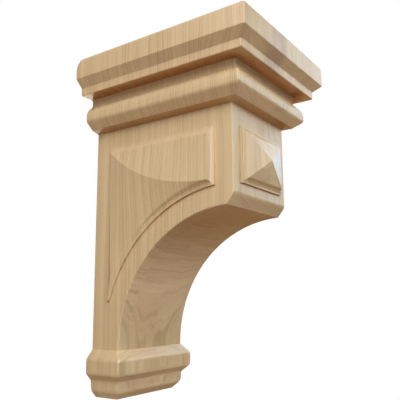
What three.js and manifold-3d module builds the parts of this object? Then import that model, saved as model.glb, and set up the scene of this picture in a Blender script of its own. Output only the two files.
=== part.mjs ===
// A carved wooden corbel: a moulded cap on an arched bracket with raised panels, and a small moulded base.
// Millimetres. +Z is up, the flat back lies in the plane y = 0 and the nose points along -Y.
// The origin is the middle of the back, half way up.
import * as THREE from "three";
import { mergeVertices } from "three/addons/utils/BufferGeometryUtils.js";
import Module from "manifold-3d";

// Overall sizes: the block below the cap, and the leg that is left behind the arch.
const HEIGHT = 356;
const BODY_WIDTH = 105;
const BODY_DEPTH = 174.6;
const LEG_DEPTH = 36;

// Cap. A drop is a depth below the top, a projection stands out from the block on both sides and the front.
const FASCIA_PROJECTION = 35.4;
const TOP_EDGE_RADIUS = 3;
const TOP_BACK_RADIUS = 13;
const FASCIA_DROP = 22.1;
const FILLET_PROJECTION = 26.9;
const FILLET_TOP_DROP = 30.3;
const SOFFIT_DROP = 38.6;
const NECK_PROJECTION = 10;
const NECK_COVE_RADIUS = 2.5;
const NECK_HOLLOW_RADIUS = 6;
const BEAD_TOP_DROP = 47.5;
const BEAD_PROJECTION = 18.6;
const BEAD_RADIUS = 13.8;
const BEAD_FACE_DROP = 65.8;
const BEAD_TOE_PROJECTION = 9.4;
const BEAD_TOE_DROP = 73.5;
const BODY_TOP_DROP = 76.1;

// Base, from the slope at its top to the chamfer at its foot.
const BASE_TOP_DROP = 307.4;
const BASE_PROJECTION = 8.4;
const BASE_BAND_TOP_DROP = 317;
const BASE_BAND_FOOT_DROP = 331;
const FOOT_BAND_PROJECTION = 0.8;
const FOOT_BAND_TOP_DROP = 338.7;
const FOOT_BAND_FOOT_DROP = 348.2;
const FOOT_INSET = 6.8;

// Nose and arch. The arch is a quarter circle that runs straight into the leg.
const NOSE_FOOT_DROP = 163;
const NOSE_CHAMFER = 8.2;
const ARCH_RADIUS = 133.7;
const ARCH_FOOT_DROP = 306.2;

// Raised panels: a small step, a hollow curve up from it, then a raised field. The front field has a point.
// The side field rises to a curved ridge, from its back top corner to its front bottom corner.
const PANEL_MARGIN = 19.8;
const PANEL_STEP = 2.2;
const PANEL_HOLLOW_RUN = 5.7;
const PANEL_FIELD_RISE = 6.6;
const PANEL_PEAK_RISE = 13.5;
const PANEL_HOLLOW_SWEEP = 70 * (Math.PI / 180);
const SIDE_RIDGE_SAG = 13.7;
const SIDE_RIDGE_RISE = 5;
const SIDE_TIP_WIDTH = 3.6;
const FRONT_PANEL_WIDTH = 80;
const FRONT_PANEL_FOOT_DROP = 151.7;

// How finely curves are cut, and how far a piece runs into its neighbour before they are joined.
const ARCH_STEPS = 48;
const MOULDING_STEPS = 6;
const HOLLOW_STEPS = 5;
const RIDGE_STEPS = 40;
const FIELD_ROWS = 6;
const JOIN_DEPTH = 3;

const WOOD = { color: 0xc9a474, roughness: 0.62, metalness: 0 };

const wasm = await Module();
wasm.setup();

const heightOf = (drop) => HEIGHT / 2 - drop;

// A closed solid through rings of equally many points, one above the other and all counter-clockwise.
// It ends in a flat face, or in a crown: points, and which of them each point of the last ring runs up to.
function loft(rings, crown) {
  const count = rings[0].length;
  const top = (rings.length - 1) * count;
  const positions = [];
  for (const point of [...rings.flat(), ...(crown?.points ?? [])]) positions.push(point.x, point.y, point.z);
  const index = [];
  for (const [a, b, c] of THREE.ShapeUtils.triangulateShape(rings[0], [])) index.push(a, c, b);
  const band = (lower, upper) => {
    for (let i = 0; i < count; i++) {
      const j = (i + 1) % count;
      index.push(lower + i, lower + j, upper(j), lower + i, upper(j), upper(i));
    }
  };
  for (let low = 0; low < top; low += count) band(low, (i) => low + count + i);
  if (crown) {
    band(top, (i) => top + count + crown.over[i]);
  } else {
    for (const corners of THREE.ShapeUtils.triangulateShape(rings.at(-1), [])) {
      index.push(...corners.map((corner) => top + corner));
    }
  }
  const geometry = new THREE.BufferGeometry();
  geometry.setAttribute("position", new THREE.Float32BufferAttribute(positions, 3));
  geometry.setIndex(index);
  return geometry;
}

// Lays a geometry's own three axes along the given directions, from the given place.
function place(geometry, xAxis, yAxis, zAxis, position) {
  const matrix = new THREE.Matrix4().makeBasis(xAxis, yAxis, zAxis).setPosition(position);
  return geometry.applyMatrix4(matrix);
}

function solidOf(geometry) {
  const bare = geometry.clone();
  bare.deleteAttribute("normal");
  bare.deleteAttribute("uv");
  const merged = mergeVertices(bare, 1e-4);
  const corners = merged.index.array;
  const triangles = [];
  for (let i = 0; i < corners.length; i += 3) {
    const [a, b, c] = corners.slice(i, i + 3);
    if (a !== b && b !== c && c !== a) triangles.push(a, b, c);
  }
  return new wasm.Manifold(
    new wasm.Mesh({
      numProp: 3,
      vertProperties: merged.attributes.position.array,
      triVerts: new Uint32Array(triangles),
    }),
  );
}

function geometryOf(solid) {
  const mesh = solid.getMesh();
  const geometry = new THREE.BufferGeometry();
  geometry.setAttribute("position", new THREE.BufferAttribute(mesh.vertProperties, 3));
  geometry.setIndex(new THREE.BufferAttribute(mesh.triVerts, 1));
  geometry.computeVertexNormals();
  return geometry;
}

// Points of a circular arc about a centre, in a profile of projection against drop.
function arc(centreProjection, centreDrop, radius, fromAngle, toAngle, steps) {
  const curve = new THREE.EllipseCurve(
    centreProjection,
    centreDrop,
    radius,
    radius,
    fromAngle,
    toAngle,
    toAngle < fromAngle,
  );
  return curve.getPoints(steps);
}

// The cap's profile from the top edge down to the block, running on into the block at its foot.
function capProfile() {
  const topEdge = arc(
    FASCIA_PROJECTION - TOP_EDGE_RADIUS,
    TOP_EDGE_RADIUS,
    TOP_EDGE_RADIUS,
    -Math.PI / 2,
    0,
    MOULDING_STEPS,
  );
  const neckCove = arc(
    NECK_PROJECTION + NECK_COVE_RADIUS,
    SOFFIT_DROP + NECK_COVE_RADIUS,
    NECK_COVE_RADIUS,
    -Math.PI / 2,
    -Math.PI,
    MOULDING_STEPS,
  );
  const beadCentre = BEAD_PROJECTION - BEAD_RADIUS;
  const beadSweep = Math.acos((NECK_PROJECTION - beadCentre) / BEAD_RADIUS);
  const beadCentreDrop = BEAD_TOP_DROP + BEAD_RADIUS * Math.sin(beadSweep);
  const centreGap = BEAD_RADIUS + NECK_HOLLOW_RADIUS;
  const hollowCentre = NECK_PROJECTION + NECK_HOLLOW_RADIUS;
  const meeting = Math.acos((hollowCentre - beadCentre) / centreGap);
  const neckHollow = arc(
    hollowCentre,
    beadCentreDrop - centreGap * Math.sin(meeting),
    NECK_HOLLOW_RADIUS,
    Math.PI,
    Math.PI - meeting,
    MOULDING_STEPS,
  );
  const bead = arc(beadCentre, beadCentreDrop, BEAD_RADIUS, -meeting, 0, MOULDING_STEPS);
  const soffitFall = (BODY_TOP_DROP - BEAD_TOE_DROP) / BEAD_TOE_PROJECTION;
  return [
    ...topEdge,
    new THREE.Vector2(FASCIA_PROJECTION, FASCIA_DROP),
    new THREE.Vector2(FILLET_PROJECTION, FILLET_TOP_DROP),
    new THREE.Vector2(FILLET_PROJECTION, SOFFIT_DROP),
    ...neckCove,
    ...neckHollow.slice(0, -1),
    ...bead,
    new THREE.Vector2(BEAD_PROJECTION, BEAD_FACE_DROP),
    new THREE.Vector2(BEAD_TOE_PROJECTION, BEAD_TOE_DROP),
    new THREE.Vector2(-JOIN_DEPTH, BODY_TOP_DROP + JOIN_DEPTH * soffitFall),
  ];
}

// The base's profile from inside the leg down to the foot.
function baseProfile() {
  return [
    new THREE.Vector2(-JOIN_DEPTH, BASE_TOP_DROP - JOIN_DEPTH),
    new THREE.Vector2(BASE_PROJECTION, BASE_BAND_TOP_DROP),
    new THREE.Vector2(BASE_PROJECTION, BASE_BAND_FOOT_DROP),
    new THREE.Vector2(FOOT_BAND_PROJECTION, FOOT_BAND_TOP_DROP),
    new THREE.Vector2(FOOT_BAND_PROJECTION, FOOT_BAND_FOOT_DROP),
    new THREE.Vector2(-FOOT_INSET, HEIGHT),
  ];
}

// A moulding round both sides and the front of a block, mitred at the corners and flush at the back.
function mouldingRound(profile, depth) {
  const rings = profile.map(({ x: projection, y: drop }) => {
    const side = BODY_WIDTH / 2 + projection;
    const front = -depth - projection;
    return [
      new THREE.Vector3(-side, front, heightOf(drop)),
      new THREE.Vector3(side, front, heightOf(drop)),
      new THREE.Vector3(side, 0, heightOf(drop)),
      new THREE.Vector3(-side, 0, heightOf(drop)),
    ];
  });
  return loft(rings.reverse());
}

// What is taken off along the top's back edge to round it.
function topBackWaste() {
  const shape = new THREE.Shape();
  shape.moveTo(TOP_BACK_RADIUS, HEIGHT / 2);
  shape.absarc(
    TOP_BACK_RADIUS,
    heightOf(TOP_BACK_RADIUS),
    TOP_BACK_RADIUS,
    Math.PI / 2,
    Math.PI,
  );
  shape.lineTo(-JOIN_DEPTH, heightOf(TOP_BACK_RADIUS));
  shape.lineTo(-JOIN_DEPTH, HEIGHT / 2 + JOIN_DEPTH);
  shape.lineTo(TOP_BACK_RADIUS, HEIGHT / 2 + JOIN_DEPTH);
  const width = BODY_WIDTH + 2 * (FASCIA_PROJECTION + JOIN_DEPTH);
  return acrossBlock(shape, width);
}

const archCentre = new THREE.Vector2(LEG_DEPTH + ARCH_RADIUS, heightOf(ARCH_FOOT_DROP));

// The bracket seen from its side, measured out from the wall, running on into the cap and the base.
function bodyOutline() {
  const archEnd = BODY_DEPTH - NOSE_CHAMFER;
  const endAngle = Math.acos((archEnd - archCentre.x) / ARCH_RADIUS);
  const outline = new THREE.Shape();
  outline.moveTo(0, heightOf(BASE_BAND_FOOT_DROP));
  outline.lineTo(LEG_DEPTH, heightOf(BASE_BAND_FOOT_DROP));
  outline.absarc(archCentre.x, archCentre.y, ARCH_RADIUS, Math.PI, endAngle, true);
  outline.lineTo(BODY_DEPTH, heightOf(NOSE_FOOT_DROP));
  outline.lineTo(BODY_DEPTH, heightOf(SOFFIT_DROP));
  outline.lineTo(0, heightOf(SOFFIT_DROP));
  return outline;
}

// An outline of depth out from the wall and height, made as wide as given about the middle.
function acrossBlock(outline, width) {
  const geometry = new THREE.ExtrudeGeometry(outline, {
    depth: width,
    bevelEnabled: false,
    curveSegments: ARCH_STEPS,
  });
  const outward = new THREE.Vector3(0, -1, 0);
  const up = new THREE.Vector3(0, 0, 1);
  const across = new THREE.Vector3(-1, 0, 0);
  return place(geometry, outward, up, across, new THREE.Vector3(width / 2, 0, 0));
}

// The side panel's limits, drawn in by an inset: measured out from the wall and up.
function sidePanelLimits(inset) {
  return {
    back: PANEL_MARGIN + inset,
    front: BODY_DEPTH - PANEL_MARGIN - inset,
    top: heightOf(BODY_TOP_DROP + PANEL_MARGIN) - inset,
    lowerEdge: (out) =>
      archCentre.y + Math.sqrt((ARCH_RADIUS + PANEL_MARGIN + inset) ** 2 - (out - archCentre.x) ** 2),
  };
}

// The side field's ridge: one arc in space between two corners of the field, bowed towards the tip and out.
function sideRidge() {
  const { back, front, top, lowerEdge } = sidePanelLimits(PANEL_HOLLOW_RUN);
  const from = new THREE.Vector3(back, top, PANEL_FIELD_RISE);
  const chord = new THREE.Vector3(front, lowerEdge(front), PANEL_FIELD_RISE).sub(from);
  const bow = new THREE.Vector3(chord.y, -chord.x, 0).setLength(SIDE_RIDGE_SAG);
  bow.z = SIDE_RIDGE_RISE;
  const half = chord.length() / 2;
  const radius = (half ** 2 + bow.lengthSq()) / (2 * bow.length());
  const sweep = Math.asin(half / radius);
  return Array.from({ length: RIDGE_STEPS + 1 }, (_, i) => {
    const turn = sweep * ((2 * i) / RIDGE_STEPS - 1);
    const along = 0.5 + (radius * Math.sin(turn)) / (2 * half);
    const lift = 1 - (radius * (1 - Math.cos(turn))) / bow.length();
    return from.clone().addScaledVector(chord, along).addScaledVector(bow, lift);
  });
}

const ridge = sideRidge();

// The side panel's edge at an inset: along the top, down the back, across the blunt tip and along the arch.
// Its upper and lower points stand above and below the points of the ridge.
function sidePanelOutline(inset) {
  const { back, front, top, lowerEdge } = sidePanelLimits(inset);
  const tip = back + SIDE_TIP_WIDTH * (1 - inset / (PANEL_HOLLOW_RUN + 1));
  const shares = ridge.map(({ x }) => (x - ridge[0].x) / (ridge[RIDGE_STEPS].x - ridge[0].x));
  const upper = shares.map((share) => new THREE.Vector2(THREE.MathUtils.lerp(back, front, share), top));
  const lower = shares.map((share) => {
    const out = THREE.MathUtils.lerp(tip, front, share);
    return new THREE.Vector2(out, lowerEdge(out));
  });
  return [...upper.reverse(), new THREE.Vector2(back, lower[0].y), ...lower];
}

// The side field rises and falls in straight upright lines, from its top to the ridge and on to the arch.
function sideCrown() {
  const rising = ridge.map((_, i) => i);
  return { points: ridge, over: [...[...rising].reverse(), 0, ...rising] };
}

function frontPanelOutline(inset) {
  const side = FRONT_PANEL_WIDTH / 2 - inset;
  const top = heightOf(BODY_TOP_DROP + PANEL_MARGIN) - inset;
  const foot = heightOf(FRONT_PANEL_FOOT_DROP) + inset;
  return [
    new THREE.Vector2(-side, foot),
    new THREE.Vector2(side, foot),
    new THREE.Vector2(side, top),
    new THREE.Vector2(-side, top),
  ];
}

function frontCrown() {
  const peak = heightOf((BODY_TOP_DROP + PANEL_MARGIN + FRONT_PANEL_FOOT_DROP) / 2);
  return { points: [new THREE.Vector3(0, peak, PANEL_PEAK_RISE)], over: [0, 0, 0, 0] };
}

// A raised panel on its own flat ground: the step, the hollow and the field, in rows up to its crown.
function raisedPanel(outlineAt, crown, rows) {
  const ringAt = (inset, height) => outlineAt(inset).map(({ x, y }) => new THREE.Vector3(x, y, height));
  const rings = [ringAt(0, -JOIN_DEPTH)];
  for (let i = 0; i <= HOLLOW_STEPS; i++) {
    const turn = (PANEL_HOLLOW_SWEEP * i) / HOLLOW_STEPS;
    const run = Math.sin(turn) / Math.sin(PANEL_HOLLOW_SWEEP);
    const rise = (1 - Math.cos(turn)) / (1 - Math.cos(PANEL_HOLLOW_SWEEP));
    rings.push(ringAt(PANEL_HOLLOW_RUN * run, PANEL_STEP + (PANEL_FIELD_RISE - PANEL_STEP) * rise));
  }
  const field = rings.at(-1);
  for (let row = 1; row < rows; row++) {
    rings.push(field.map((point, i) => point.clone().lerp(crown.points[crown.over[i]], row / rows)));
  }
  return loft(rings, crown);
}

// One panel on each side and one on the front. The right-hand one is the left-hand one's mirror image.
function panels() {
  const up = new THREE.Vector3(0, 0, 1);
  const outward = new THREE.Vector3(0, -1, 0);
  const left = new THREE.Vector3(-1, 0, 0);
  const right = new THREE.Vector3(1, 0, 0);
  const side = raisedPanel(sidePanelOutline, sideCrown(), FIELD_ROWS);
  const front = raisedPanel(frontPanelOutline, frontCrown(), 1);
  const leftPanel = solidOf(place(side, outward, up, left, new THREE.Vector3(-BODY_WIDTH / 2, 0, 0)));
  const frontPanel = solidOf(place(front, right, up, outward, new THREE.Vector3(0, -BODY_DEPTH, 0)));
  return [leftPanel, leftPanel.mirror([1, 0, 0]), frontPanel];
}

const body = acrossBlock(bodyOutline(), BODY_WIDTH);
const blocks = [body, mouldingRound(capProfile(), BODY_DEPTH), mouldingRound(baseProfile(), LEG_DEPTH)];
const block = [...blocks.map(solidOf), ...panels()].reduce((joined, solid) => joined.add(solid));
const whole = block.subtract(solidOf(topBackWaste()));

const corbel = new THREE.Mesh(geometryOf(whole), new THREE.MeshStandardMaterial(WOOD));
corbel.name = "corbel";

const part = new THREE.Group();
part.add(corbel);

export default part;
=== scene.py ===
import math

import bmesh
import bpy
from mathutils import Matrix, Vector
from mathutils.kdtree import KDTree


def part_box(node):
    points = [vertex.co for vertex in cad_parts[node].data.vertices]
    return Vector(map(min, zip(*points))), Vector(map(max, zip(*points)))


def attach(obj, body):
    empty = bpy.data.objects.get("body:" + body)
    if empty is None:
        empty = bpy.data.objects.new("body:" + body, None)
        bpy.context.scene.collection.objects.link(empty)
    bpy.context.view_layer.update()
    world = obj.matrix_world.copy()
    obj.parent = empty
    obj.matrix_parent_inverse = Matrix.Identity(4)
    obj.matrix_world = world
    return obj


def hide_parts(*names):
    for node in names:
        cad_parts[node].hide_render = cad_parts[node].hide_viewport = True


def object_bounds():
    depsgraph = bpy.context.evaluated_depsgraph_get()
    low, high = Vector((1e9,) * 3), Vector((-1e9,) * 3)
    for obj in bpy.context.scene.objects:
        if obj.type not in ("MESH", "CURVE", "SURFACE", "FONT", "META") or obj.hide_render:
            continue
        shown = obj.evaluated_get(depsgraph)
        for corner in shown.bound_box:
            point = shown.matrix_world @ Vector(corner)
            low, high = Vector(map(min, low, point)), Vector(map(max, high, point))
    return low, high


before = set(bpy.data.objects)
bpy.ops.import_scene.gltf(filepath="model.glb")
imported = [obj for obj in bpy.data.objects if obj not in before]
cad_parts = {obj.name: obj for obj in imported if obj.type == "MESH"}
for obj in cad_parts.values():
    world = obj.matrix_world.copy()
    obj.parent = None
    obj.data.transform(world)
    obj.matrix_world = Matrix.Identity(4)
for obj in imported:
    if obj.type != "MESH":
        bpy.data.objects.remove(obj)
cad_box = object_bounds()

# Sizes are in millimetres. A drop is a depth below the top, and a projection stands out from the block
# on both sides and the front. "Out" is measured from the wall.
MM = 0.001
lowest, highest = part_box("corbel")
TOP = highest.z / MM
HEIGHT = (highest.z - lowest.z) / MM
FASCIA_PROJECTION = 35.4
BODY_WIDTH = (highest.x - lowest.x) / MM - 2 * FASCIA_PROJECTION
BODY_DEPTH = (highest.y - lowest.y) / MM - FASCIA_PROJECTION
LEG_DEPTH = 36

# Cap
TOP_EDGE_RADIUS = 3
TOP_BACK_RADIUS = 13
FASCIA_DROP = 22.1
FILLET_PROJECTION = 26.9
FILLET_TOP_DROP = 30.3
SOFFIT_DROP = 38.6
NECK_PROJECTION = 10
NECK_COVE_RADIUS = 2.5
NECK_HOLLOW_RADIUS = 6
BEAD_TOP_DROP = 47.5
BEAD_PROJECTION = 18.6
BEAD_RADIUS = 13.8
BEAD_FACE_DROP = 65.8
BEAD_TOE_PROJECTION = 9.4
BEAD_TOE_DROP = 73.5
BODY_TOP_DROP = 76.1

# Base
BASE_TOP_DROP = 307.4
BASE_PROJECTION = 8.4
BASE_BAND_TOP_DROP = 317
BASE_BAND_FOOT_DROP = 331
FOOT_BAND_PROJECTION = 0.8
FOOT_BAND_TOP_DROP = 338.7
FOOT_BAND_FOOT_DROP = 348.2
FOOT_INSET = 6.8

# Nose and arch
NOSE_FOOT_DROP = 163
NOSE_CHAMFER = 8.2
ARCH_RADIUS = 133.7
ARCH_FOOT_DROP = 306.2
ARCH_CENTRE = LEG_DEPTH + ARCH_RADIUS

# Raised panels
PANEL_MARGIN = 19.8
PANEL_STEP = 2.2
PANEL_HOLLOW_RUN = 5.7
PANEL_FIELD_RISE = 6.6
PANEL_PEAK_RISE = 13.5
PANEL_HOLLOW_SWEEP = math.radians(70)
PANEL_BATTER = 0.3
SIDE_RIDGE_SAG = 13.7
SIDE_RIDGE_RISE = 5
SIDE_TIP_WIDTH = 3.6
SIDE_TIP_RUN = PANEL_HOLLOW_RUN + 1
FRONT_PANEL_WIDTH = 80
FRONT_PANEL_FOOT_DROP = 151.7
PANEL_TOP_DROP = BODY_TOP_DROP + PANEL_MARGIN
FRONT_PEAK_DROP = (PANEL_TOP_DROP + FRONT_PANEL_FOOT_DROP) / 2

# The side panel's hollow gets lower between these drops, by this share, towards the tip.
HOLLOW_FADE_TOP_DROP = 152
HOLLOW_FADE_FOOT_DROP = 205
HOLLOW_FADE = 0.8

# How arrises are eased by sanding, and how finely curves are cut
EASE = 1.2
PANEL_EASE = 0.5
MITRE_EASE = 2
FIELD_EASE = 2.4
FIELD_EASE_SHARE = 0.45
HOLLOW_STEPS_EASED = 3
BEAD_EASE = 5
BASE_EASE = 6
FOOT_EASE = 10
NOSE_EASE = 8
EASE_STEPS = 6
CORNER_TURN = math.radians(20)
PEAK_TURN = math.radians(2)
SEGMENT_SHARE = 0.45
ARCH_STEPS = 96
RIDGE_STEPS = 80
FIELD_ROWS = 10
MOULDING_STEPS = 12
HOLLOW_STEPS = 10
JOIN_DEPTH = 3
WELD = 0.001
CREST_REACH = 0.1
ARRIS_WIDTH = 0.6


def arc(centre, radius, start, stop, steps):
    """Points of a circular arc from one angle to another, in degrees."""
    turns = [math.radians(start + (stop - start) * i / steps) for i in range(steps + 1)]
    return [(centre[0] + radius * math.cos(t), centre[1] + radius * math.sin(t)) for t in turns]


def eased_corner(corner, before, after, radius):
    """The small arc that takes the place of a corner."""
    turn = math.pi - before.angle(after)
    reach = radius * math.tan(turn / 2)
    reach = min(reach, SEGMENT_SHARE * before.length, SEGMENT_SHARE * after.length)
    fitted = reach / math.tan(turn / 2)
    inward = (before.normalized() + after.normalized()).normalized()
    centre = corner + inward * (fitted / math.cos(turn / 2))
    start = corner + before.normalized() * reach - centre
    side = 1 if before.x * after.y - before.y * after.x < 0 else -1
    turns = [side * turn * i / EASE_STEPS for i in range(EASE_STEPS + 1)]
    return [tuple(centre + Matrix.Rotation(t, 2) @ start) for t in turns]


def eased(points, radius):
    """An open line with its corners rounded. A third value is a corner's own radius. Fine curves stay."""
    line = [points[0][:2]]
    for left, here, right in zip(points, points[1:], points[2:]):
        corner = Vector(here[:2])
        before = Vector(left[:2]) - corner
        after = Vector(right[:2]) - corner
        if math.pi - before.angle(after) > CORNER_TURN:
            line.extend(eased_corner(corner, before, after, here[2] if len(here) > 2 else radius))
        else:
            line.append(here[:2])
    return line + [points[-1]]


def loft(name, rings, over=None):
    """A closed mesh through rings of equally many points. It ends in a flat face, or in a crown.

    For a crown, the last ring holds its points, and "over" tells which one each point before runs up to.
    """
    made = bmesh.new()
    loops = [[made.verts.new(Vector(point) * MM) for point in ring] for ring in rings]
    if over:
        loops[-1] = [loops[-1][i] for i in over]
    else:
        made.faces.new(loops[-1])
    for low, high in zip(loops, loops[1:]):
        for i in range(len(low)):
            j = (i + 1) % len(low)
            corners = dict.fromkeys([low[i], low[j], high[j], high[i]])
            made.faces.new(list(corners))
    made.faces.new(loops[0][::-1])
    bmesh.ops.remove_doubles(made, verts=made.verts, dist=WELD * MM)
    bmesh.ops.recalc_face_normals(made, faces=made.faces)
    mesh = bpy.data.meshes.new(name)
    made.to_mesh(mesh)
    made.free()
    shell = bpy.data.objects.new(name, mesh)
    bpy.context.scene.collection.objects.link(shell)
    return shell


def cap_profile():
    """Projection against drop, from the top edge down into the block."""
    bead_centre = BEAD_PROJECTION - BEAD_RADIUS
    sweep = math.degrees(math.acos((NECK_PROJECTION - bead_centre) / BEAD_RADIUS))
    bead_drop = BEAD_TOP_DROP + BEAD_RADIUS * math.sin(math.radians(sweep))
    gap = BEAD_RADIUS + NECK_HOLLOW_RADIUS
    hollow_centre = NECK_PROJECTION + NECK_HOLLOW_RADIUS
    meeting = math.degrees(math.acos((hollow_centre - bead_centre) / gap))
    hollow_drop = bead_drop - gap * math.sin(math.radians(meeting))
    top_centre = (FASCIA_PROJECTION - TOP_EDGE_RADIUS, TOP_EDGE_RADIUS)
    cove_centre = (NECK_PROJECTION + NECK_COVE_RADIUS, SOFFIT_DROP + NECK_COVE_RADIUS)
    soffit_fall = (BODY_TOP_DROP - BEAD_TOE_DROP) / BEAD_TOE_PROJECTION
    back_turns = [math.pi / 2 * i / MOULDING_STEPS for i in range(1, MOULDING_STEPS + 1)]
    back_drops = [TOP_BACK_RADIUS * (1 - math.cos(turn)) for turn in back_turns]
    return [
        *arc(top_centre, TOP_EDGE_RADIUS, -90, 0, MOULDING_STEPS),
        *((FASCIA_PROJECTION, drop) for drop in back_drops if drop > TOP_EDGE_RADIUS),
        (FASCIA_PROJECTION, FASCIA_DROP),
        (FILLET_PROJECTION, FILLET_TOP_DROP),
        (FILLET_PROJECTION, SOFFIT_DROP),
        *arc(cove_centre, NECK_COVE_RADIUS, -90, -180, MOULDING_STEPS),
        *arc((hollow_centre, hollow_drop), NECK_HOLLOW_RADIUS, 180, 180 - meeting, MOULDING_STEPS)[:-1],
        *arc((bead_centre, bead_drop), BEAD_RADIUS, -meeting, 0, MOULDING_STEPS),
        (BEAD_PROJECTION, BEAD_FACE_DROP, BEAD_EASE),
        (BEAD_TOE_PROJECTION, BEAD_TOE_DROP),
        (-JOIN_DEPTH, BODY_TOP_DROP + JOIN_DEPTH * soffit_fall),
    ]


def base_profile():
    """Projection against drop, from inside the leg down to the foot."""
    return [
        (-JOIN_DEPTH, BASE_TOP_DROP - JOIN_DEPTH),
        (BASE_PROJECTION, BASE_BAND_TOP_DROP, BASE_EASE),
        (BASE_PROJECTION, BASE_BAND_FOOT_DROP, BASE_EASE),
        (FOOT_BAND_PROJECTION, FOOT_BAND_TOP_DROP, BASE_EASE),
        (FOOT_BAND_PROJECTION, FOOT_BAND_FOOT_DROP, FOOT_EASE),
        (-FOOT_INSET, HEIGHT),
    ]


def back_inset(drop):
    """How far the rounded back edge of the top stands off the wall."""
    rest = max(0, TOP_BACK_RADIUS - drop)
    return TOP_BACK_RADIUS - math.sqrt(TOP_BACK_RADIUS**2 - rest**2)


def moulding(name, profile, depth):
    """A moulding round both sides and the front of a block, with eased mitres, flush with the wall."""
    rings = []
    for projection, drop in eased(profile, EASE):
        side = BODY_WIDTH / 2 + projection
        front = -depth - projection
        back = -back_inset(drop)
        plan = eased([(side, back), (side, front), (-side, front), (-side, back)], MITRE_EASE)
        rings.append([(across, out, TOP - drop) for across, out in plan])
    return loft(name, rings)


def body_outline(inset):
    """The bracket from its side, as out against drop, drawn in by an inset along the nose and the arch."""
    nose_end = BODY_DEPTH - NOSE_CHAMFER
    arch_top = ARCH_FOOT_DROP - math.sqrt(ARCH_RADIUS**2 - (nose_end - ARCH_CENTRE) ** 2)
    slope = math.atan2(arch_top - NOSE_FOOT_DROP, NOSE_CHAMFER)
    radius = ARCH_RADIUS + inset
    arch_end = nose_end - inset * math.tan(slope / 2)
    nose_foot = NOSE_FOOT_DROP - inset * math.tan((math.pi / 2 - slope) / 2)
    end_angle = -math.degrees(math.acos((arch_end - ARCH_CENTRE) / radius))
    line = [
        (0, BASE_BAND_FOOT_DROP),
        (LEG_DEPTH - inset, BASE_BAND_FOOT_DROP),
        *arc((ARCH_CENTRE, ARCH_FOOT_DROP), radius, -180, end_angle, ARCH_STEPS),
        (BODY_DEPTH - inset, nose_foot, NOSE_EASE),
        (BODY_DEPTH - inset, SOFFIT_DROP),
        (0, SOFFIT_DROP),
    ]
    return eased(line, EASE)


def body():
    """The block, with eased arrises along the nose and the arch."""
    turns = [math.pi / 2 * i / EASE_STEPS for i in range(EASE_STEPS + 1)]
    flat = BODY_WIDTH / 2 - EASE
    right = [(flat + EASE * math.sin(t), EASE - EASE * math.cos(t)) for t in turns]
    left = [(-across, inset) for across, inset in reversed(right)]
    rings = [
        [(across, -out, TOP - drop) for out, drop in body_outline(inset)]
        for across, inset in left + right
    ]
    return loft("block", rings)


def side_panel_limits(inset):
    """The side panel's back, front and top edges, and the radius of its lower edge."""
    front = BODY_DEPTH - PANEL_MARGIN - inset
    return PANEL_MARGIN + inset, front, PANEL_TOP_DROP + inset, ARCH_RADIUS + PANEL_MARGIN + inset


def lower_edge(out, radius):
    """The drop of an arc that follows the arch."""
    return ARCH_FOOT_DROP - math.sqrt(radius**2 - (out - ARCH_CENTRE) ** 2)


def side_ridge():
    """One arc in space between two corners of the side field, bowed towards the tip and outwards."""
    back, front, top, radius = side_panel_limits(PANEL_HOLLOW_RUN)
    start = Vector((back, top, PANEL_FIELD_RISE))
    chord = Vector((front, lower_edge(front, radius), PANEL_FIELD_RISE)) - start
    sag = Vector((-chord.y, chord.x, 0)).normalized() * SIDE_RIDGE_SAG
    bow = sag + Vector((0, 0, SIDE_RIDGE_RISE))
    half = chord.length / 2
    bend = (half**2 + bow.length_squared) / (2 * bow.length)
    sweep = math.asin(half / bend)
    points = []
    for i in range(RIDGE_STEPS + 1):
        turn = sweep * (2 * i / RIDGE_STEPS - 1)
        along = chord.normalized() * (half + bend * math.sin(turn))
        points.append(start + along + bow.normalized() * bend * (math.cos(turn) - math.cos(sweep)))
    return points


def side_panel_outline(inset):
    """Out against drop: the top from front to back, a blunt tip, and an arc that follows the arch."""
    back, front, top, radius = side_panel_limits(inset)
    ridge = side_ridge()
    reach = ridge[-1].x - ridge[0].x
    shares = [(point.x - ridge[0].x) / reach for point in ridge]
    tip = back + SIDE_TIP_WIDTH * (1 - inset / SIDE_TIP_RUN)
    upper = [(back + (front - back) * share, top) for share in shares]
    outs = [tip + (front - tip) * share for share in shares]
    lower = [(out, lower_edge(out, radius)) for out in outs]
    return [*reversed(upper), (back, lower[0][1]), *lower]


def side_crown():
    """The side field's ridge, and which of its points each point of the outline stands below or above."""
    along = list(range(RIDGE_STEPS + 1))
    return side_ridge(), [*reversed(along), 0, *along]


def front_panel_outline(inset):
    """Across against drop."""
    side = FRONT_PANEL_WIDTH / 2 - inset
    top = PANEL_TOP_DROP + inset
    foot = FRONT_PANEL_FOOT_DROP - inset
    return [(-side, foot), (side, foot), (side, top), (-side, top)]


def front_crown():
    """The point of the front field, which all four corners of its outline run up to."""
    return [Vector((0, FRONT_PEAK_DROP, PANEL_PEAK_RISE))], [0, 0, 0, 0]


def panel_point(across, drop, height):
    """A point of a panel, let down where the hollow fades."""
    share = (drop - HOLLOW_FADE_TOP_DROP) / (HOLLOW_FADE_FOOT_DROP - HOLLOW_FADE_TOP_DROP)
    lowered = HOLLOW_FADE * min(1, max(0, share)) * max(0, height - PANEL_STEP)
    return Vector((across, drop, height - lowered))


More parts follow.
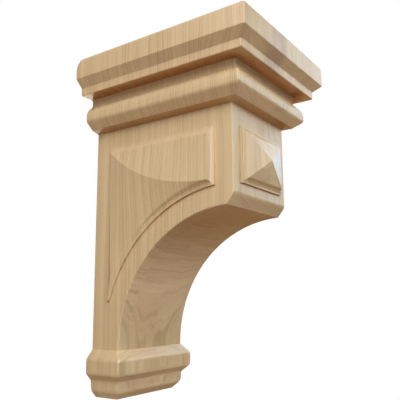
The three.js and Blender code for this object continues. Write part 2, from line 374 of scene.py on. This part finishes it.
def panel(name, outline_at, crown, rows, place):
    """A raised panel: a step, a hollow up from it, and a field in rows up to its crown."""
    hollow = []
    for i in range(HOLLOW_STEPS + 1):
        turn = PANEL_HOLLOW_SWEEP * i / HOLLOW_STEPS
        run = math.sin(turn) / math.sin(PANEL_HOLLOW_SWEEP)
        rise = (1 - math.cos(turn)) / (1 - math.cos(PANEL_HOLLOW_SWEEP))
        inset = PANEL_BATTER + (PANEL_HOLLOW_RUN - PANEL_BATTER) * run
        hollow.append((inset, PANEL_STEP + (PANEL_FIELD_RISE - PANEL_STEP) * rise))
    section = eased([(0, -JOIN_DEPTH), (0, 0), *hollow[:-HOLLOW_STEPS_EASED]], PANEL_EASE)
    rings = [[panel_point(*at, height) for at in outline_at(inset)] for inset, height in section]
    edge = [panel_point(*at, PANEL_FIELD_RISE) for at in outline_at(PANEL_HOLLOW_RUN)]
    points, over = crown
    peaks = [points[i] for i in over]
    field = []
    for point, peak in zip(edge, peaks):
        length = max((peak - point).length, WELD)
        field.append(point.lerp(peak, min(FIELD_EASE_SHARE, FIELD_EASE / length)))
    hollow_top = rings[-1]
    for i in range(1, EASE_STEPS):
        t = i / EASE_STEPS
        rings.append([a.lerp(b, t).lerp(b.lerp(c, t), t) for a, b, c in zip(hollow_top, edge, field)])
    for row in range(rows):
        rings.append([a.lerp(b, row / rows) for a, b in zip(field, peaks)])
    rings.append(points)
    return loft(name, [[place(*point) for point in ring] for ring in rings], over)


def place_left(out, drop, height):
    return (-BODY_WIDTH / 2 - height, -out, TOP - drop)


def place_right(out, drop, height):
    return (BODY_WIDTH / 2 + height, -out, TOP - drop)


def place_front(across, drop, height):
    return (across, -BODY_DEPTH - height, TOP - drop)


def joined(name, shells):
    """One closed mesh from shells that run into each other."""
    whole = shells[0]
    for shell in shells[1:]:
        union = whole.modifiers.new(shell.name, "BOOLEAN")
        union.operation = "UNION"
        union.solver = "MANIFOLD"
        union.object = shell
    bpy.context.view_layer.update()
    mesh = bpy.data.meshes.new_from_object(whole.evaluated_get(bpy.context.evaluated_depsgraph_get()))
    for shell in shells:
        bpy.data.objects.remove(shell)
    mesh.name = name
    piece = bpy.data.objects.new(name, mesh)
    bpy.context.scene.collection.objects.link(piece)
    return piece


def shade(piece, crests):
    """Smooth curves, crisp corners, fields that keep their ridges, and a painted-highlight mark on narrow
    eased arrises.
    """
    made = bmesh.new()
    made.from_mesh(piece.data)
    bmesh.ops.remove_doubles(made, verts=made.verts, dist=WELD * MM)
    tree = KDTree(len(crests))
    for i, crest in enumerate(crests):
        tree.insert(crest, i)
    tree.balance()
    on_crest = {v for v in made.verts if tree.find(v.co)[2] < CREST_REACH * MM}
    for edge in made.edges:
        limit = PEAK_TURN if on_crest.intersection(edge.verts) else CORNER_TURN
        edge.smooth = edge.calc_face_angle(0) < limit
    # Narrow convex faces along eased arrises are marked to be painted a little lighter, as a painted
    # highlight.
    arris_highlight = made.faces.layers.float.new("arris_highlight")
    for face in made.faces:
        face.smooth = True
        width = 2 * face.calc_area() / face.calc_perimeter()
        convex = all(edge.calc_face_angle_signed(0) > -PEAK_TURN for edge in face.edges)
        face[arris_highlight] = float(convex and width < ARRIS_WIDTH * MM)
    made.to_mesh(piece.data)
    made.free()
    weights = piece.modifiers.new("weights", "WEIGHTED_NORMAL")
    weights.keep_sharp = True


def build_corbel():
    side = side_crown()
    front = front_crown()
    piece = joined(
        "carved_corbel",
        [
            body(),
            moulding("cap", cap_profile(), BODY_DEPTH),
            moulding("base", base_profile(), LEG_DEPTH),
            panel("left_panel", side_panel_outline, side, FIELD_ROWS, place_left),
            panel("right_panel", side_panel_outline, side, FIELD_ROWS, place_right),
            panel("front_panel", front_panel_outline, front, 1, place_front),
        ],
    )
    crests = [place(*point) for place in (place_left, place_right) for point in side[0]]
    crests.extend(place_front(*point) for point in front[0])
    shade(piece, [Vector(crest) * MM for crest in crests])
    return piece


# Wood. The block is glued up from boards side by side, with the grain upright. Each board has its own
# growth rings about a pith that stands in front of the block, so that faces, arch and facets cut them at
# different slants. A noise's size is how many of its cells go to a millimetre, along x, y and z.
BOARD_WIDTH = 40
BOARD_EDGE = 4
BOARD_SEED = 7.3
PITH_ACROSS = -14
PITH_OUT = 330
PITH_SPREAD = 60
LOT_SHIFT = 300
BEND_SIZE = (0.021, 0.021, 0.0045)
BEND_REACH = 15
RIPPLE_SIZE = (0.085, 0.085, 0.016)
RIPPLE_REACH = 3.4
RING_SPACING = 2.3
RING_DRIFT = 2
RING_WEAKEST = 0.2
LATE_WOOD_PEAK = 0.9
FINE_RING = 0.7
BROAD_RING = 0.12
RING_NOISE_ROUGHNESS = 0.6
FIBRE_NOISE_ROUGHNESS = 0.6
FIBRE_SIZE = (1.5, 1.5, 0.022)
PORE_SIZE = (5, 5, 0.28)
CLOUD_SIZE = (0.03, 0.03, 0.008)
FINE_RANGE = (0.38, 0.62)
NOISE_RANGE = (0.3, 0.7)
PORE_RANGE = (0.6, 0.72)
FINE_SHARE = 0.36
BROAD_SHARE = 0.2
RING_SHARE = 0.2
FIBRE_SHARE = 0.14
CLOUD_SHARE = 0.12
PORE_SHARE = 0.05
WOOD_PALE = (0.93, 0.68, 0.4, 1)
WOOD_DEEP = (0.54, 0.36, 0.172, 1)
PINK_CAST = (1, 0.96, 0.97, 1)
TONE_RANGE = (0.2, 0.8)
ROUGHNESS = (0.26, 0.31)
GRAIN_RELIEF = 0.03
PORE_RELIEF = -0.5
LATE_WOOD_RELIEF = -0.3

# A darker board shows in the front of the cap: where it fades in and out along x, and in along y.
STREAK_LEFT = (-48, -26)
STREAK_RIGHT = (4, -14)
STREAK_FRONT = (-194, -202)
STREAK_TINT = (0.77, 0.72, 0.77, 1)

# End grain is darker and redder, with painted shade in tight corners. Narrow arrises get a painted
# highlight.
END_GRAIN = (0.75, 1)
END_TINT = (0.87, 0.77, 0.65, 1)
CORNER_SHADE_REACH = 25
CORNER_SHADE_DEPTH = (1, 0.5)
CORNER_SHADE_TINT = (0.76, 0.54, 0.35, 1)
ARRIS_HIGHLIGHT_TINT = (1.04, 1.04, 1.04, 1)


class Nodes:
    """Short ways to add shader nodes and wire them."""

    def __init__(self, tree):
        self.tree = tree

    def add(self, kind, inputs, **settings):
        made = self.tree.nodes.new("ShaderNode" + kind)
        for name, value in settings.items():
            setattr(made, name, value)
        for key, value in inputs.items():
            if isinstance(value, bpy.types.NodeSocket):
                self.tree.links.new(value, made.inputs[key])
            else:
                made.inputs[key].default_value = value
        return made

    def maths(self, operation, *values):
        return self.add("Math", dict(enumerate(values)), operation=operation).outputs[0]

    def vector(self, operation, *values):
        return self.add("VectorMath", dict(enumerate(values)), operation=operation).outputs[0]

    def noise(self, place, detail=2, roughness=0.5):
        """Noise in space."""
        values = {"Vector": place, "Scale": 1, "Detail": detail, "Roughness": roughness}
        return self.add("TexNoise", values).outputs["Fac"]

    def noise_along(self, distance, detail):
        """Noise that changes with one distance only."""
        values = {"W": distance, "Scale": 1, "Detail": detail, "Roughness": RING_NOISE_ROUGHNESS}
        return self.add("TexNoise", values, noise_dimensions="1D").outputs["Fac"]

    def ramp(self, value, start, end, low=0, high=1):
        values = {"Value": value, 1: start, 2: end, 3: low, 4: high}
        return self.add("MapRange", values, interpolation_type="SMOOTHSTEP").outputs["Result"]

    def blend(self, share, first, second, kind="MIX"):
        values = {0: share, 6: first, 7: second}
        return self.add("Mix", values, data_type="RGBA", blend_type=kind).outputs[2]

    def total(self, terms):
        """The sum of values, each times its share."""
        sum_so_far = 0
        for value, share in terms:
            sum_so_far = self.maths("MULTIPLY_ADD", value, share, sum_so_far)
        return sum_so_far


def board_lot(nodes, across):
    """Three numbers of a board's own, the same all through it."""
    from_edge = nodes.maths("SUBTRACT", across, BOARD_EDGE)
    board = nodes.maths("FLOOR", nodes.maths("DIVIDE", from_edge, BOARD_WIDTH))
    seed = nodes.maths("ADD", board, BOARD_SEED)
    return nodes.add("TexWhiteNoise", {"W": seed}, noise_dimensions="1D").outputs["Color"]


def growth(nodes, place, lot):
    """How far a point lies from its board's pith, bent and rippled as a real trunk is."""
    spread = nodes.vector("MULTIPLY", lot, (PITH_SPREAD, PITH_SPREAD, 0))
    pith = nodes.vector("ADD", spread, (PITH_ACROSS - PITH_SPREAD / 2, -PITH_OUT, 0))
    flat = nodes.vector("MULTIPLY", nodes.vector("SUBTRACT", place, pith), (1, 1, 0))
    distance = nodes.add("VectorMath", {0: flat}, operation="LENGTH").outputs["Value"]
    shifted = nodes.vector("MULTIPLY_ADD", lot, (LOT_SHIFT, LOT_SHIFT, LOT_SHIFT), place)
    bend = nodes.noise(nodes.vector("MULTIPLY", shifted, BEND_SIZE), detail=1)
    ripple = nodes.noise(nodes.vector("MULTIPLY", shifted, RIPPLE_SIZE))
    return nodes.total([(distance, 1), (bend, BEND_REACH), (ripple, RIPPLE_REACH)])


def bare_wood():
    material = bpy.data.materials.new("sanded_wood")
    material.use_nodes = True
    nodes = Nodes(material.node_tree)
    point = nodes.add("TexCoord", {}).outputs["Object"]
    place = nodes.vector("MULTIPLY", point, (1 / MM, 1 / MM, 1 / MM))
    across, y, _ = nodes.add("SeparateXYZ", {0: place}).outputs
    lot = board_lot(nodes, across)
    distance = growth(nodes, place, lot)

    fine = nodes.noise_along(nodes.maths("MULTIPLY", distance, FINE_RING), detail=3)
    broad = nodes.noise_along(nodes.maths("MULTIPLY", distance, BROAD_RING), detail=2)
    years = nodes.total([(distance, 1 / RING_SPACING), (broad, RING_DRIFT)])
    season = nodes.maths("FRACT", years)
    count = nodes.maths("FLOOR", years)
    year = nodes.add("TexWhiteNoise", {"W": count}, noise_dimensions="1D").outputs["Value"]
    growing = nodes.ramp(season, 0, LATE_WOOD_PEAK)
    late = nodes.maths("MULTIPLY", growing, nodes.ramp(season, LATE_WOOD_PEAK, 1, 1, 0))
    ring = nodes.maths("MULTIPLY", late, nodes.ramp(year, 0, 1, RING_WEAKEST, 1))
    fibre_place = nodes.vector("MULTIPLY", place, FIBRE_SIZE)
    fibre = nodes.noise(fibre_place, detail=3, roughness=FIBRE_NOISE_ROUGHNESS)
    specks = nodes.noise(nodes.vector("MULTIPLY", place, PORE_SIZE), detail=1)
    pores = nodes.ramp(specks, *PORE_RANGE)
    cloud = nodes.noise(nodes.vector("MULTIPLY", place, CLOUD_SIZE))
    tone = nodes.total([
        (nodes.ramp(fine, *FINE_RANGE), FINE_SHARE),
        (nodes.ramp(broad, *NOISE_RANGE), BROAD_SHARE),
        (ring, RING_SHARE),
        (nodes.ramp(fibre, *NOISE_RANGE), FIBRE_SHARE),
        (nodes.ramp(cloud, *NOISE_RANGE), CLOUD_SHARE),
        (pores, PORE_SHARE),
    ])

    in_board = nodes.maths("MULTIPLY", nodes.ramp(across, *STREAK_LEFT), nodes.ramp(across, *STREAK_RIGHT))
    streak = nodes.maths("MULTIPLY", in_board, nodes.ramp(y, *STREAK_FRONT))
    upright = nodes.add("SeparateXYZ", {0: nodes.add("NewGeometry", {}).outputs["True Normal"]}).outputs["Z"]
    end_grain = nodes.ramp(nodes.maths("ABSOLUTE", upright), *END_GRAIN)
    # Painted shade: end grain in tight corners, where ambient occlusion finds little open space, is darker
    # and redder.
    openness = nodes.add("AmbientOcclusion", {"Distance": CORNER_SHADE_REACH * MM}, only_local=True).outputs["AO"]
    corner_shade = nodes.maths("MULTIPLY", end_grain, nodes.ramp(openness, *CORNER_SHADE_DEPTH))
    colour = nodes.blend(tone, WOOD_PALE, WOOD_DEEP)
    # Among these tints, the corner one is painted shade and the arris one is a painted highlight.
    for share, tint in [
        (nodes.add("SeparateColor", {0: lot}).outputs["Blue"], PINK_CAST),
        (streak, STREAK_TINT),
        (end_grain, END_TINT),
        (corner_shade, CORNER_SHADE_TINT),
        (nodes.add("Attribute", {}, attribute_name="arris_highlight").outputs["Fac"], ARRIS_HIGHLIGHT_TINT),
    ]:
        colour = nodes.blend(share, colour, tint, "MULTIPLY")

    shader = material.node_tree.nodes["Principled BSDF"]
    relief = nodes.total([(fibre, 1), (pores, PORE_RELIEF), (late, LATE_WOOD_RELIEF)])
    bump = nodes.add("Bump", {"Height": relief, "Distance": GRAIN_RELIEF * MM, "Strength": 1})
    roughness = nodes.ramp(tone, *TONE_RANGE, *ROUGHNESS)
    material.node_tree.links.new(colour, shader.inputs["Base Color"])
    material.node_tree.links.new(roughness, shader.inputs["Roughness"])
    material.node_tree.links.new(bump.outputs[0], shader.inputs["Normal"])
    return material


# Camera, as the photograph was taken: from the left front, a little below the middle, looking up.
CAMERA_PLACE = (-462.63, -419.23, -81.72)
CAMERA_AZIMUTH = 55.478
CAMERA_PITCH = 10.710
CAMERA_ROLL = -0.463
CAMERA_LENS = 48.203
CAMERA_SENSOR = 36
CAMERA_CLIP_START = 10


def add_camera():
    data = bpy.data.cameras.new("camera")
    data.lens = CAMERA_LENS
    data.sensor_width = CAMERA_SENSOR
    data.clip_start = CAMERA_CLIP_START * MM
    camera = bpy.data.objects.new("camera", data)
    bpy.context.scene.collection.objects.link(camera)
    turn = Matrix.Rotation(math.radians(-CAMERA_AZIMUTH), 4, "Z")
    pitch = Matrix.Rotation(math.radians(90 + CAMERA_PITCH), 4, "X")
    roll = Matrix.Rotation(math.radians(CAMERA_ROLL), 4, "Z")
    camera.matrix_world = Matrix.Translation(Vector(CAMERA_PLACE) * MM) @ turn @ pitch @ roll
    bpy.context.scene.camera = camera


# The studio is in metres. Soft boxes stand round the object, each with its azimuth (0 in front, 90 to the
# right), elevation, power, size and colour.
LIGHT_DISTANCE = 1.5
BROAD_BOX = 2.0
SMALL_BOX = 0.9
LIGHTS = [
    ("left", -62, 20, 14.2, BROAD_BOX, (1.0, 0.99, 0.985)),
    ("left_high", -62, 40, 10.4, BROAD_BOX, (0.87, 0.96, 1.0)),
    ("left_back", -100, 40, 4.0, SMALL_BOX, (0.9, 0.97, 1.0)),
    ("left_back_low", -150, -40, 2.4, SMALL_BOX, (1.0, 0.72, 0.5)),
    ("front_high", 8, 40, 9.6, BROAD_BOX, (0.75, 0.92, 1.0)),
    ("right_front", 25, 20, 4.0, SMALL_BOX, (0.88, 0.95, 1.0)),
    ("right_high", 66, 20, 4.0, SMALL_BOX, (0.75, 0.88, 1.0)),
    ("right", 95, 20, 4.4, SMALL_BOX, (0.5, 0.68, 1.0)),
    ("right_low", 60, -40, 2.6, SMALL_BOX, (1.0, 0.77, 0.62)),
    ("right_back", 140, 2, 10.9, SMALL_BOX, (1.0, 0.93, 0.72)),
    ("right_back_low", 140, -40, 6.6, SMALL_BOX, (1.0, 0.94, 0.82)),
    ("below", 0, -85, 4.4, SMALL_BOX, (1.0, 0.84, 0.7)),
]
SKY_STRENGTH = 0
FLOOR_SIZE = 40
FLOOR_GAP = 0.6


def add_light(name, azimuth, elevation, power, size, colour):
    data = bpy.data.lights.new(name, "AREA")
    data.energy = power
    data.color = colour
    data.shape = "DISK"
    data.size = size
    light = bpy.data.objects.new(name, data)
    bpy.context.scene.collection.objects.link(light)
    a = math.radians(azimuth)
    e = math.radians(elevation)
    away = Vector((math.sin(a) * math.cos(e), -math.cos(a) * math.cos(e), math.sin(e)))
    centre = (cad_box[0] + cad_box[1]) / 2
    light.location = centre + away * LIGHT_DISTANCE
    light.rotation_euler = away.to_track_quat("Z", "Y").to_euler()


def add_sky():
    """White behind the object for the camera, which lights nothing."""
    world = bpy.data.worlds.new("studio")
    bpy.context.scene.world = world
    world.use_nodes = True
    tree = world.node_tree
    sky = tree.nodes["Background"]
    sky.inputs["Strength"].default_value = SKY_STRENGTH
    backdrop = tree.nodes.new("ShaderNodeBackground")
    backdrop.inputs["Color"].default_value = (1, 1, 1, 1)
    sight = tree.nodes.new("ShaderNodeLightPath")
    mix = tree.nodes.new("ShaderNodeMixShader")
    tree.links.new(sight.outputs["Is Camera Ray"], mix.inputs[0])
    tree.links.new(sky.outputs[0], mix.inputs[1])
    tree.links.new(backdrop.outputs[0], mix.inputs[2])
    tree.links.new(mix.outputs[0], tree.nodes["World Output"].inputs["Surface"])


def add_floor():
    """A plain white floor, well below the bracket, which hangs on a wall."""
    mesh = bpy.data.meshes.new("floor")
    half = FLOOR_SIZE / 2
    level = cad_box[0].z - FLOOR_GAP
    corners = [(-half, -half, level), (half, -half, level), (half, half, level), (-half, half, level)]
    mesh.from_pydata(corners, [], [(0, 1, 2, 3)])
    floor = bpy.data.objects.new("floor", mesh)
    bpy.context.scene.collection.objects.link(floor)
    material = bpy.data.materials.new("white_floor")
    material.use_nodes = True
    shader = material.node_tree.nodes["Principled BSDF"]
    shader.inputs["Base Color"].default_value = (0, 0, 0, 1)
    shader.inputs["Emission Color"].default_value = (1, 1, 1, 1)
    shader.inputs["Emission Strength"].default_value = 1
    shader.inputs["Specular IOR Level"].default_value = 0
    mesh.materials.append(material)
    floor.visible_diffuse = False
    floor.visible_glossy = False
    floor.visible_shadow = False


corbel = build_corbel()
corbel.data.materials.clear()
corbel.data.materials.append(bare_wood())
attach(corbel, "root")
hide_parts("corbel")

add_camera()
add_sky()
add_floor()
for light in LIGHTS:
    add_light(*light)
bpy.context.scene.view_settings.view_transform = "Standard"
